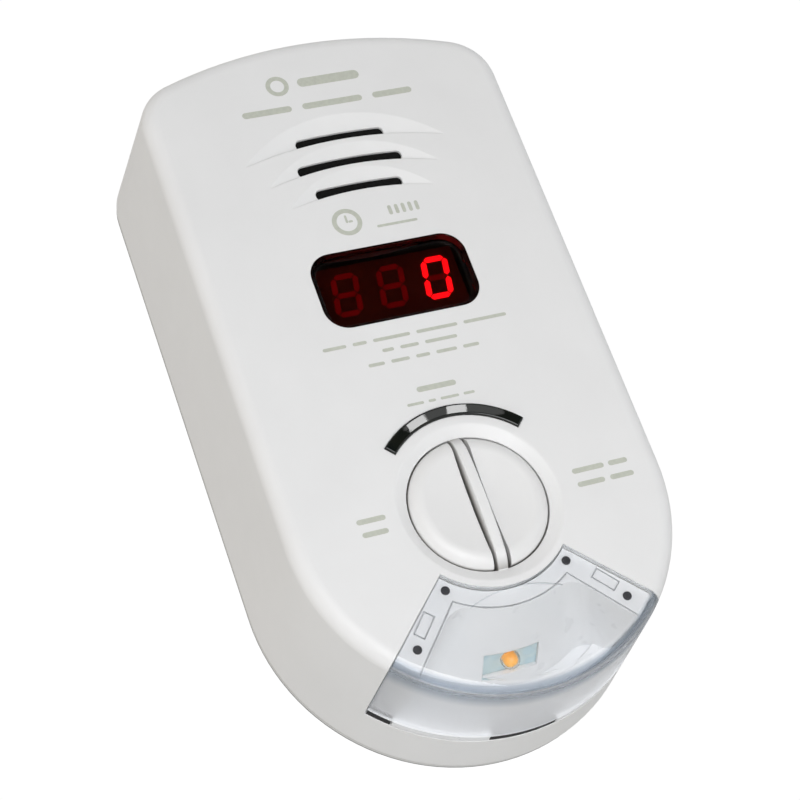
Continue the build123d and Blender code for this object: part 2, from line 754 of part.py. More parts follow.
def coil_spring(x, z, radius, wire_r, front, back, turns):
    """A round-wire spring square to the face, with its wire's ends left open."""
    height = back - front - 2 * wire_r
    path = facing(back - wire_r) * Pos(x, z, 0) * Helix(height / turns, height, radius)
    start = Plane(origin=path @ 0, z_dir=path % 0)
    return sweep(start * Circle(wire_r), path)


def horn_contacts():
    """Three light springs that join the horn's discs to the board."""
    places = [(0.0, 0.0, 8.9), (-4.5, 2.0, 8.9), (10.6, 0.0, 8.72)]
    return [
        coil_spring(x, HORN_Z + z, 0.8, 0.12, front, BOARD[0] - 0.05, 5)
        for x, z, front in places
    ]


def lying(radius, x_from, x_to, z, depth):
    """A cylinder lying across the case."""
    plane = Plane(origin=(x_from, depth - DEPTH, BUTTONS_Z + z), z_dir=(1, 0, 0))
    return extrude(plane * Circle(radius), x_to - x_from)


def co_cell():
    """Electrochemical cell: a steel can with a crimped shoulder."""
    can = lying(CELL_R, -20.0, 15.0, CELL_Z, CELL_DEPTH)
    can = fillet(can.edges(), 0.8)
    neck = lying(CELL_R + 1, 10.0, 11.2, CELL_Z, CELL_DEPTH)
    neck -= lying(CELL_R - 0.6, 9.0, 12.0, CELL_Z, CELL_DEPTH)
    return can - neck


def co_cell_cap():
    cap = lying(CELL_R - 0.3, 15.1, 19.0, CELL_Z, CELL_DEPTH)
    return cap - lying(1.2, 16.5, 20.0, CELL_Z, CELL_DEPTH)


def co_cell_tabs():
    """Two tabs that hold the cell to the board and carry its current."""
    tabs = []
    for x, reach in ((-20.75, 1.3), (19.4, 1.3)):
        upright = block(x, CELL_Z, 0.5, 4.0, BOARD[1] + 0.05, CELL_DEPTH + 3.0)
        side = -1 if x < 0 else 1
        foot = block(x + side * reach, CELL_Z, 3.1, 4.0, BOARD[1] + 0.05, BOARD[1] + 0.55)
        tabs.append(upright + foot)
    return tabs


def lithium_battery():
    """Sealed cell with a raised positive end."""
    body = fillet(lying(BATTERY_R, -17.0, 16.3, BATTERY_Z, BATTERY_DEPTH).edges(), 1.0)
    return body + lying(3.0, 16.2, 17.4, BATTERY_Z, BATTERY_DEPTH)


def battery_tabs():
    tabs = []
    for x in (-17.4, 17.8):
        upright = block(x, BATTERY_Z, 0.5, 6.0, BOARD[1] + 0.05, BATTERY_DEPTH + 2.0)
        side = -1 if x < 0 else 1
        foot = block(x + side * 1.5, BATTERY_Z, 3.5, 6.0, BOARD[1] + 0.05, BOARD[1] + 0.55)
        tabs.append(upright + foot)
    return tabs


def battery_cradle():
    """Two saddles that hold the battery off the board."""
    saddles = []
    hollow = lying(BATTERY_R + 0.05, -20, 20, BATTERY_Z, BATTERY_DEPTH)
    for x in (-10.0, 10.0):
        saddles.append(block(x, BATTERY_Z, 3.0, 16.0, BOARD[1] + 0.05, 20.0) - hollow)
    return saddles


def film_capacitor():
    body = block(-22.5, 47.0, 9.0, 18.0, BOARD[1] + 0.1, 28.0)
    return fillet(body.edges().filter_by(Axis.Y), 1.0)


def smoothing_capacitors():
    """Two round cans with a groove rolled near the board end."""
    cans = []
    for x, z, radius, back in ((22.5, 53.0, 5.0, 29.5), (22.5, 41.5, 4.0, 25.5)):
        can = fillet(rod(x, z, radius, BOARD[1] + 0.1, back).edges(), 0.5)
        cans.append(can - ring(x, z, radius + 1, radius - 0.4, 15.4, 16.4))
    return cans


def surge_varistor():
    plane = Plane(origin=(-22.5, 20.4 - DEPTH, BUTTONS_Z + 34.0), z_dir=(0, 0, 1))
    disc = extrude(plane * Circle(5.5), 3.6)
    return fillet(disc.edges(), 1.0)


def horn_coil():
    """Step-up coil for the horn on a flanged bobbin."""
    body = rod(22.5, 31.5, 4.0, BOARD[1] + 0.1, 23.0)
    body += rod(22.5, 31.5, 4.8, BOARD[1] + 0.1, 14.9)
    return body + rod(22.5, 31.5, 4.8, 22.0, 23.0)


def control_chips():
    """The controller and two small chips."""
    parts = []
    places = [(0.0, 33.0, 12.8, 7.5), (-13.0, 4.0, 5.0, 4.0), (13.0, 4.0, 5.0, 4.0)]
    for x, z, width, height in places:
        chip = block(x, z, width, height, BOARD[1] + 0.15, BOARD[1] + 2.3)
        parts.append(chamfer(chip.faces().sort_by(Axis.Y)[-1].edges(), 0.25))
    return parts


def supply_transformer():
    """Small potted transformer that isolates the supply."""
    core = block(0, 3.0, 17.0, 15.0, BOARD[1] + 0.1, 29.0)
    return fillet(core.edges().filter_by(Axis.Y), 0.8)


NODES = [
    front_housing,
    rear_cover,
    rating_label,
    cover_screws,
    board_screws,
    plug_insert,
    plug_blades,
    contact_strips,
    display_module,
    display_pins,
    display_window,
    alarm_light_lens,
    alarm_leds,
    led_spacers,
    test_hush_button,
    peak_level_button,
    switch_bodies,
    test_switch_plunger,
    peak_switch_plunger,
    night_light_lens,
    night_light_reflector,
    reflector_rivets,
    light_seal,
    night_light_board,
    night_light_led,
    led_phosphor,
    main_board,
    horn_screen,
    horn_cup,
    piezo_disc,
    piezo_ceramic,
    horn_clamp_ring,
    horn_contacts,
    co_cell,
    co_cell_cap,
    co_cell_tabs,
    lithium_battery,
    battery_tabs,
    battery_cradle,
    film_capacitor,
    smoothing_capacitors,
    surge_varistor,
    horn_coil,
    control_chips,
    supply_transformer,
]


def write(name, made):
    """Write one node's solids as a STEP file."""
    pieces = made if isinstance(made, list) else [made]
    solids = [solid for piece in pieces for solid in piece.solids()]
    whole = solids[0] if len(solids) == 1 else Compound(children=solids)
    export_step(whole, f"parts/{name}.step")


os.makedirs("parts", exist_ok=True)
for make in NODES:
    write(make.__name__, make())
write("unlit_segments", all_segments(False))
write("lit_segments", all_segments(True))
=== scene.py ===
from math import cos, pi, radians, sin

import bmesh
import bpy
from mathutils import Matrix, Vector


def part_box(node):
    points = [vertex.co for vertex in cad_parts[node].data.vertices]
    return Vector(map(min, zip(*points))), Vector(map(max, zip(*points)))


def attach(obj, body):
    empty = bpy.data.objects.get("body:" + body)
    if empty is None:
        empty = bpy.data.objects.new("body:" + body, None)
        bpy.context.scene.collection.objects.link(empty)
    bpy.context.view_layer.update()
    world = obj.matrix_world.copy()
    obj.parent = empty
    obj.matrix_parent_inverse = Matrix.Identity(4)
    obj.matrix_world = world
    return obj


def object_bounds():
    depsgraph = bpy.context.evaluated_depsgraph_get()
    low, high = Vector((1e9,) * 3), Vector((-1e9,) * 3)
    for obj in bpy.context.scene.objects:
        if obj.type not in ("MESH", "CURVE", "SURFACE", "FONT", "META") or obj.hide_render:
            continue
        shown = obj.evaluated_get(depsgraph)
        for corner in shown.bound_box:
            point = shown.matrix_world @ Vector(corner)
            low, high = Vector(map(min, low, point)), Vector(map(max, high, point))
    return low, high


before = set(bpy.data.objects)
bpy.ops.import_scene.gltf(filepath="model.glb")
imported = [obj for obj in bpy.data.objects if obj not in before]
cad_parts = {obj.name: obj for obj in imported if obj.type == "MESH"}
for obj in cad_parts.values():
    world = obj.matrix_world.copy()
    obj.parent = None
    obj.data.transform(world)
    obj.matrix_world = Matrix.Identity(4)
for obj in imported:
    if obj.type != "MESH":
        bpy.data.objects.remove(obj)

# Looks of a plug-in carbon monoxide alarm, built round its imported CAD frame.
# Metres, +Z up, -Y out of the wall towards the room. Sizes given in millimetres use MM.

CAD_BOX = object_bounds()
MM = 0.001

# Camera and surroundings
CAMERA_AT = (-0.14749, -0.40527, -0.19010)
CAMERA_LOOK = (0.32608, 0.86305, 0.38577)
CAMERA_ROLL = -20.51           # degrees
CAMERA_LENS = 97.0
SENSOR = 36.0
FLOOR_Z = -0.42
DARK_SIDE = (0.33, -0.86, 0.39)   # direction of the sky's dark side, which the face mirrors
SKY_LEFT, SKY_RIGHT = (0.95, 0.905, 0.845), (0.98, 1.0, 1.02)
FLOOR_HALF = 40.0
GLINT_REACH = 3.0              # from the arc to its catch lights
GLINT_WIDTH = 5 * MM           # as mirrored in the arc
GLINTS = {                     # turn from the top, spread (degrees), watts per square metre
    "glint_left": (-20.0, 11.0, 40.0),
    "glint_middle": (6.0, 11.0, 40.0),
    "glint_wide": (3.0, 58.0, 4.0),
}

# Places that materials and printed marks follow, the first two taken from the frame
FACE_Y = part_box("display_window")[0].y
BUTTONS_Z = (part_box("test_hush_button")[0].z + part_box("test_hush_button")[1].z) / 2
COVER_IN = 18.26 * MM          # clear cover's inner arc about the buttons' axis
COVER_BACK = 20.7              # depth of its lower edge, in millimetres
COVER_HALF = radians(45.45)    # its straight edges, each side of straight down
COVER_INSIDE = 1.45            # depth just behind its front wall, in millimetres
ARC_INSET = 2.2 * MM           # from the arc's flange to the middle of its width
PRINT_THICK = 0.02 * MM

# Painted shade laid over other colours: at the clear cover's fold, and deep in the gaps round the buttons
FOLD_SHADE = (0.42, 0.48, 0.56)
GAP_SHADE = (0.2, 0.185, 0.16)


# Node materials


class Tree:
    """Short ways to add nodes to an emptied node tree and to link them."""

    def __init__(self, node_tree):
        self.nodes = node_tree.nodes
        self.links = node_tree.links
        self.nodes.clear()

    def add(self, kind, inputs=(), **settings):
        node = self.nodes.new(kind)
        for key, value in settings.items():
            setattr(node, key, value)
        for key, value in dict(inputs).items():
            if isinstance(value, bpy.types.NodeSocket):
                self.links.new(value, node.inputs[key])
            else:
                node.inputs[key].default_value = value
        return node

    def spread(self, value, low, high, to_low=0.0, to_high=1.0):
        """Maps a value between low and high onto to_low and to_high, and holds it there."""
        inputs = {0: value, 1: low, 2: high, 3: to_low, 4: to_high}
        return self.add("ShaderNodeMapRange", inputs).outputs[0]

    def maths(self, operation, a, b=0.0):
        return self.add("ShaderNodeMath", {0: a, 1: b}, operation=operation).outputs[0]

    def mixed(self, amount, a, b):
        """Colour a turning into colour b by an amount from 0 to 1."""
        a = a if isinstance(a, bpy.types.NodeSocket) else (*a, 1.0)
        b = b if isinstance(b, bpy.types.NodeSocket) else (*b, 1.0)
        mix = self.add("ShaderNodeMix", {0: amount, 6: a, 7: b}, data_type="RGBA")
        return mix.outputs[2]


class Finish(Tree):
    """A node material round one Principled shader, built up in layers."""

    def __init__(self, name, roughness=0.4, metallic=0.0, **constants):
        self.material = bpy.data.materials.new(name)
        self.material.use_nodes = True
        super().__init__(self.material.node_tree)
        self.output = self.nodes.new("ShaderNodeOutputMaterial")
        self.shader = self.nodes.new("ShaderNodeBsdfPrincipled")
        self.links.new(self.shader.outputs["BSDF"], self.output.inputs["Surface"])
        self.shader.inputs["Roughness"].default_value = roughness
        self.shader.inputs["Metallic"].default_value = metallic
        for socket, value in constants.items():
            self.shader.inputs[socket.replace("_", " ")].default_value = value
        self.where = self.nodes.new("ShaderNodeTexCoord").outputs["Object"]
        self.colour = None
        self.normal = None

    def noise(self, size_mm, detail=2.0, stretch=(1, 1, 1)):
        """Smooth noise from 0 to 1, its features about size_mm across."""
        moved = self.add("ShaderNodeMapping", {"Vector": self.where, "Scale": stretch})
        inputs = {"Vector": moved.outputs[0], "Scale": 1 / (size_mm * MM), "Detail": detail}
        return self.add("ShaderNodeTexNoise", inputs).outputs["Fac"]

    def cells(self, size_mm, feature="F1"):
        """Distance within cells about size_mm across."""
        inputs = {"Vector": self.where, "Scale": 1 / (size_mm * MM)}
        return self.add("ShaderNodeTexVoronoi", inputs, feature=feature).outputs["Distance"]

    def paint(self, light, dark, size_mm, detail=3.0, stretch=(1, 1, 1)):
        """Base colour that wanders between two shades."""
        amount = self.spread(self.noise(size_mm, detail, stretch), 0.3, 0.7)
        self.colour = self.mixed(amount, light, dark)

    def layer(self, amount, shade):
        """Lays another shade over the colour so far."""
        self.colour = self.mixed(amount, self.colour, shade)

    def vary_roughness(self, low, high, size_mm, stretch=(1, 1, 1)):
        value = self.spread(self.noise(size_mm, 3.0, stretch), 0.3, 0.7, low, high)
        self.links.new(value, self.shader.inputs["Roughness"])

    def round_edges(self, radius_mm):
        """Softens sharp edges in the shading, as moulding or stamping does."""
        inputs = {"Radius": radius_mm * MM}
        if self.normal:
            inputs["Normal"] = self.normal
        self.normal = self.add("ShaderNodeBevel", inputs, samples=6).outputs[0]

    def edges(self, radius_mm, low=0.02, high=0.25):
        """Mask of the edges, from how far the rounded shading leaves the true surface."""
        rounded = self.add("ShaderNodeBevel", {"Radius": radius_mm * MM}, samples=4).outputs[0]
        flat = self.add("ShaderNodeNewGeometry").outputs["Normal"]
        dot = self.add("ShaderNodeVectorMath", {0: rounded, 1: flat}, operation="DOT_PRODUCT")
        return self.spread(self.maths("SUBTRACT", 1.0, dot.outputs["Value"]), low, high)

    def wear(self, shade, radius_mm, amount):
        """Edges rubbed to another shade, unevenly."""
        patchy = self.spread(self.noise(1.6, 4.0), 0.35, 0.65)
        mask = self.maths("MULTIPLY", self.edges(radius_mm), patchy)
        self.layer(self.maths("MULTIPLY", mask, amount), shade)

    def bump(self, height, depth_mm, strength=1.0):
        inputs = {"Height": height, "Distance": depth_mm * MM, "Strength": strength}
        if self.normal:
            inputs["Normal"] = self.normal
        self.normal = self.add("ShaderNodeBump", inputs).outputs[0]

    def depth(self, front_mm, back_mm):
        """0 in front of one depth behind the face, 1 behind a second one."""
        across = self.add("ShaderNodeSeparateXYZ", {0: self.where}).outputs["Y"]
        return self.spread(across, FACE_Y + front_mm * MM, FACE_Y + back_mm * MM)

    def from_buttons(self):
        """Distance from the buttons' axis."""
        split = self.add("ShaderNodeSeparateXYZ", {0: self.where}).outputs
        down = self.maths("SUBTRACT", BUTTONS_Z, split["Z"])
        flat = self.add("ShaderNodeCombineXYZ", {"X": split["X"], "Z": down}).outputs[0]
        return self.add("ShaderNodeVectorMath", {0: flat}, operation="LENGTH").outputs["Value"]

    def gap_shade(self, front_mm, back_mm, within_mm):
        """Painted shade deep in the gaps round the buttons."""
        near = self.spread(self.from_buttons(), within_mm * MM, (within_mm + 0.1) * MM, 1.0, 0.0)
        mask = self.maths("MULTIPLY", near, self.depth(front_mm, back_mm))
        self.layer(self.maths("MULTIPLY", mask, 0.8), GAP_SHADE)

    def cut_rim(self):
        """1 on the cover's cut walls: its inner arc and its two straight edges."""
        split = self.add("ShaderNodeSeparateXYZ", {0: self.where}).outputs
        across = self.maths("ABSOLUTE", split["X"])
        down = self.maths("SUBTRACT", BUTTONS_Z, split["Z"])
        from_arc = self.maths("SUBTRACT", self.from_buttons(), COVER_IN)
        from_side = self.maths(
            "SUBTRACT",
            self.maths("MULTIPLY", down, sin(COVER_HALF)),
            self.maths("MULTIPLY", across, cos(COVER_HALF)),
        )
        return self.spread(self.maths("MINIMUM", from_arc, from_side), 0.07 * MM, 0.15 * MM, 1.0, 0.0)

    def glow(self, shade, strength):
        self.shader.inputs["Emission Color"].default_value = (*shade, 1.0)
        self.shader.inputs["Emission Strength"].default_value = strength

    def let_light_through(self):
        """Lets lamps and diffuse light pass straight through a thin clear wall."""
        path = self.add("ShaderNodeLightPath")
        passes = self.maths("MAXIMUM", path.outputs["Is Shadow Ray"], path.outputs["Is Diffuse Ray"])
        clear = self.add("ShaderNodeBsdfTransparent")
        inputs = {0: passes, 1: self.shader.outputs["BSDF"], 2: clear.outputs["BSDF"]}
        mix = self.add("ShaderNodeMixShader", inputs)
        self.links.new(mix.outputs[0], self.output.inputs["Surface"])

    def done(self):
        if self.colour:
            self.links.new(self.colour, self.shader.inputs["Base Color"])
        if self.normal:
            self.links.new(self.normal, self.shader.inputs["Normal"])
        return self.material


def darker(shade, factor):
    return tuple(channel * factor for channel in shade)


def moulded(name, shade, roughness, grain_mm=0.35, grain_depth=0.004, edge_mm=0.2, gap_shade=None):
    """Injection moulded plastic: a faint spark grain, slow sink marks, slightly rubbed edges."""
    finish = Finish(name, roughness)
    finish.paint(shade, darker(shade, 0.972), 18.0)
    finish.wear(darker(shade, 0.9), 0.25, 0.35)
    # Painted shade deep in the gaps round the buttons, where it is asked for
    if gap_shade:
        finish.gap_shade(*gap_shade)
    finish.round_edges(edge_mm)
    finish.bump(finish.noise(30.0, 1.0), 0.06, 0.5)
    finish.bump(finish.noise(grain_mm, 3.0), grain_depth)
    finish.vary_roughness(roughness - 0.04, roughness + 0.06, 4.0)
    return finish.done()


def rear_shell(name, shade, shadow):
    """Moulded rear cover, with painted shadow on its sides in the seam at its front edge and along its
    back edge.
    """
    finish = Finish(name, 0.45)
    finish.paint(shade, darker(shade, 0.96), 18.0)
    finish.wear(darker(shade, 0.85), 0.25, 0.35)
    # Painted shadow on the rim's sides: in the seam at the front edge and along the back edge
    normal = finish.add("ShaderNodeNewGeometry").outputs["Normal"]
    facing = finish.add("ShaderNodeSeparateXYZ", {0: normal}).outputs["Y"]
    sides = finish.spread(finish.maths("ABSOLUTE", facing), 0.3, 0.7, 1.0, 0.0)
    ends = finish.maths("SUBTRACT", 1.0, finish.depth(35.55, 35.65))
    ends = finish.maths("ADD", ends, finish.depth(36.55, 36.65))
    sides = finish.maths("MULTIPLY", sides, ends)
    finish.layer(finish.maths("MULTIPLY", sides, 0.9), shadow)
    finish.round_edges(0.2)
    finish.bump(finish.noise(0.35, 3.0), 0.004)
    finish.vary_roughness(0.41, 0.51, 4.0)
    return finish.done()


def brushed(name, shade, roughness, grain=(1, 1, 14), grain_mm=1.2):
    """Rolled or drawn metal: fine lines one way, small stains and bright edges."""
    finish = Finish(name, roughness, 1.0)
    finish.paint(shade, darker(shade, 0.8), 2.5)
    finish.wear(tuple(min(1.0, 1.25 * channel) for channel in shade), 0.15, 0.7)
    finish.round_edges(0.12)
    finish.bump(finish.noise(grain_mm, 4.0, grain), 0.006)
    finish.vary_roughness(roughness - 0.08, roughness + 0.12, grain_mm, grain)
    return finish.done()


def circuit_board(name, mask, copper):
    """Solder mask over copper tracks, which show as slightly raised, lighter lanes."""
    finish = Finish(name, 0.35, Coat_Weight=0.4, Coat_Roughness=0.12)
    lanes = finish.spread(finish.cells(2.6), 0.42, 0.46)
    finish.paint(mask, darker(mask, 0.85), 5.0)
    finish.layer(finish.maths("MULTIPLY", lanes, 0.35), copper)
    finish.wear(darker(copper, 0.8), 0.2, 0.5)
    finish.round_edges(0.1)
    finish.bump(lanes, 0.02)
    finish.bump(finish.noise(0.3), 0.002)
    return finish.done()


def film_wrap(name, shade, roughness, ridge=(1, 1, 1)):
    """Shrunk sleeve or dipped coating: glossy with soft ripples and small sags."""
    finish = Finish(name, roughness, Coat_Weight=0.3, Coat_Roughness=0.1)
    finish.paint(shade, darker(shade, 0.82), 3.0)
    finish.wear(darker(shade, 0.7), 0.3, 0.6)
    finish.round_edges(0.3)
    finish.bump(finish.noise(2.2, 2.0, ridge), 0.05)
    finish.bump(finish.noise(0.2), 0.002)
    finish.vary_roughness(roughness - 0.03, roughness + 0.08, 1.5)
    return finish.done()


def paper(name, shade):
    finish = Finish(name, 0.7)
    finish.paint(shade, darker(shade, 0.95), 6.0)
    finish.wear(darker(shade, 0.8), 0.2, 0.6)
    finish.bump(finish.noise(0.15, 4.0, (1, 1, 3)), 0.01)
    finish.vary_roughness(0.62, 0.8, 0.8)
    return finish.done()


def fired_ceramic(name, shade):
    finish = Finish(name, 0.45, 0.25)
    finish.paint(shade, darker(shade, 0.85), 1.2)
    finish.wear(darker(shade, 0.6), 0.15, 0.5)
    finish.bump(finish.noise(0.12, 4.0), 0.004)
    finish.vary_roughness(0.35, 0.6, 0.5)
    return finish.done()


def clear_cover(name):
    """Clear polycarbonate: polished in front, frosted from the fold back, with painted shade at the fold
    and on its cut walls, and a painted glow along its lower edge.
    """
    finish = Finish(name, 0.03, Transmission_Weight=1.0, IOR=1.5, Specular_IOR_Level=0.12)
    finish.paint((0.985, 0.99, 0.995), (0.96, 0.97, 0.98), 9.0)
    frosted = finish.depth(COVER_INSIDE, 3.2)
    finish.layer(frosted, (0.93, 0.938, 0.955))
    # Painted shade: a blue-grey band through the rounded fold and just behind it
    fold = finish.maths("SUBTRACT", finish.depth(COVER_INSIDE, 2.0), finish.depth(3.6, 6.5))
    finish.layer(finish.maths("MULTIPLY", fold, 0.9), FOLD_SHADE)
    bend = finish.maths("SUBTRACT", finish.depth(0.06, 0.35), finish.depth(1.25, 1.38))
    finish.layer(finish.maths("MULTIPLY", bend, 0.95), FOLD_SHADE)
    rim = finish.cut_rim()
    # Painted shade on the cut walls, greying the cover's edges
    finish.layer(finish.maths("MULTIPLY", rim, 0.85), (0.42, 0.47, 0.5))
    scuffs = finish.spread(finish.noise(0.5, 3.0, (1, 8, 1)), 0.62, 0.7)
    finish.bump(finish.noise(14.0, 1.0), 0.02, 0.5)
    finish.bump(scuffs, 0.0005)
    haze = finish.spread(finish.noise(3.0, 3.0), 0.3, 0.7, 0.02, 0.06)
    frost = finish.maths("MULTIPLY", frosted, 0.42)
    rough = finish.maths("ADD", finish.maths("ADD", haze, frost), finish.maths("MULTIPLY", rim, 0.4))
    finish.links.new(rough, finish.shader.inputs["Roughness"])
    # Painted highlight: a thin band along the lower edge glows white of its own
    painted_edge_glow = finish.depth(COVER_BACK - 0.7, COVER_BACK - 0.6)
    finish.glow((0.0, 0.0, 0.0), 0.14)
    painted_glow_colour = finish.mixed(painted_edge_glow, (0.0, 0.0, 0.0), (0.94, 0.97, 1.0))
    finish.links.new(painted_glow_colour, finish.shader.inputs["Emission Color"])
    finish.let_light_through()
    return finish.done()


def red_window(name):
    """Dark red filter plastic with a faint texture, its front rim and sloped walls painted darker as
    shade.
    """
    finish = Finish(name, 0.08, Transmission_Weight=1.0, IOR=1.2)
    finish.paint((0.5, 0.15, 0.11), (0.43, 0.12, 0.09), 7.0)
    # Painted shade on the window's front rim and sloped walls
    painted_slope_shade = finish.maths("SUBTRACT", 1.0, finish.depth(1.1, 1.65))
    finish.layer(painted_slope_shade, (0.42, 0.09, 0.095))
    finish.round_edges(0.25)
    finish.bump(finish.noise(10.0, 1.0), 0.04, 0.5)
    finish.bump(finish.noise(0.3), 0.001)
    finish.vary_roughness(0.05, 0.12, 3.0)
    return finish.done()


def smoked_bar(name):
    """Smoked glossy plastic, nearly black with a green cast."""
    finish = Finish(name, 0.06)
    finish.paint((0.005, 0.007, 0.006), (0.009, 0.01, 0.007), 3.0)
    finish.wear((0.1, 0.11, 0.12), 0.15, 0.4)
    finish.round_edges(0.1)
    finish.bump(finish.noise(5.0, 1.0), 0.002, 0.5)
    finish.bump(finish.noise(0.4), 0.0002)
    finish.vary_roughness(0.0, 0.015, 2.0)
    return finish.done()


def display_bar(name, shade, roughness, glow, strength):
    """Epoxy segment with a grainy diffuser, dimmer towards its edges."""
    finish = Finish(name, roughness)
    finish.paint(shade, darker(shade, 0.7), 0.4)
    finish.bump(finish.noise(0.15), 0.004)
    finish.vary_roughness(roughness - 0.05, roughness + 0.1, 0.5)
    finish.glow(glow, strength)
    dim = finish.mixed(finish.edges(0.35, 0.0, 0.3), glow, darker(glow, 0.25))
    finish.links.new(dim, finish.shader.inputs["Emission Color"])
    return finish.done()


def lamp_core(name):
    """Glowing core of the night light's lamp: orange, yellow in its middle."""
    finish = Finish(name, 0.4)
    low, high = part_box("led_phosphor")
    inputs = {0: finish.where, 1: (low + high) / 2}
    away = finish.add("ShaderNodeVectorMath", inputs, operation="DISTANCE").outputs["Value"]
    rim = finish.spread(away, 1.0 * MM, 1.75 * MM)
    finish.paint((1.0, 0.66, 0.22), (1.0, 0.58, 0.15), 0.6)
    finish.layer(rim, (0.85, 0.34, 0.07))
    finish.bump(finish.noise(0.25), 0.004)
    finish.vary_roughness(0.35, 0.5, 0.6)
    finish.links.new(finish.colour, finish.shader.inputs["Emission Color"])
    finish.shader.inputs["Emission Strength"].default_value = 0.65
    return finish.done()


def lamp_epoxy(name, shade):
    finish = Finish(name, 0.15, Subsurface_Weight=0.2, Coat_Weight=0.5)
    finish.shader.inputs["Subsurface Scale"].default_value = 0.5 * MM
    finish.paint(shade, darker(shade, 0.75), 0.8)
    finish.wear(darker(shade, 0.6), 0.15, 0.4)
    finish.bump(finish.noise(0.25), 0.003)
    finish.vary_roughness(0.1, 0.3, 0.6)
    return finish.done()


def clear_dome(name):
    """Clear epoxy dome of the night light's lamp, slightly smoky."""
    finish = Finish(name, 0.12, Transmission_Weight=1.0, IOR=1.45)
    finish.paint((0.82, 0.8, 0.72), (0.74, 0.72, 0.66), 1.5)
    finish.wear((0.5, 0.48, 0.42), 0.2, 0.4)
    finish.bump(finish.noise(0.4), 0.004)
    finish.vary_roughness(0.08, 0.18, 0.8)
    finish.let_light_through()
    return finish.done()


def gauze(name, dark, thread):
    """Woven cloth: fine dark holes between slightly lighter threads."""
    finish = Finish(name, 0.75, Specular_IOR_Level=0.15)
    weave = finish.spread(finish.cells(0.3), 0.3, 0.6)
    finish.paint(dark, darker(dark, 0.6), 4.0)
    finish.layer(finish.maths("MULTIPLY", weave, 0.6), thread)
    finish.bump(weave, 0.02)
    finish.vary_roughness(0.65, 0.85, 0.6)
    return finish.done()


def ink(name, shade):
    """Pad-printed ink, thin in places."""
    finish = Finish(name, 0.5)
    finish.paint(shade, tuple(min(1.0, 1.12 * channel) for channel in shade), 0.7, 4.0)
    finish.bump(finish.noise(0.2), 0.002)
    finish.vary_roughness(0.42, 0.6, 0.8)
    return finish.done()


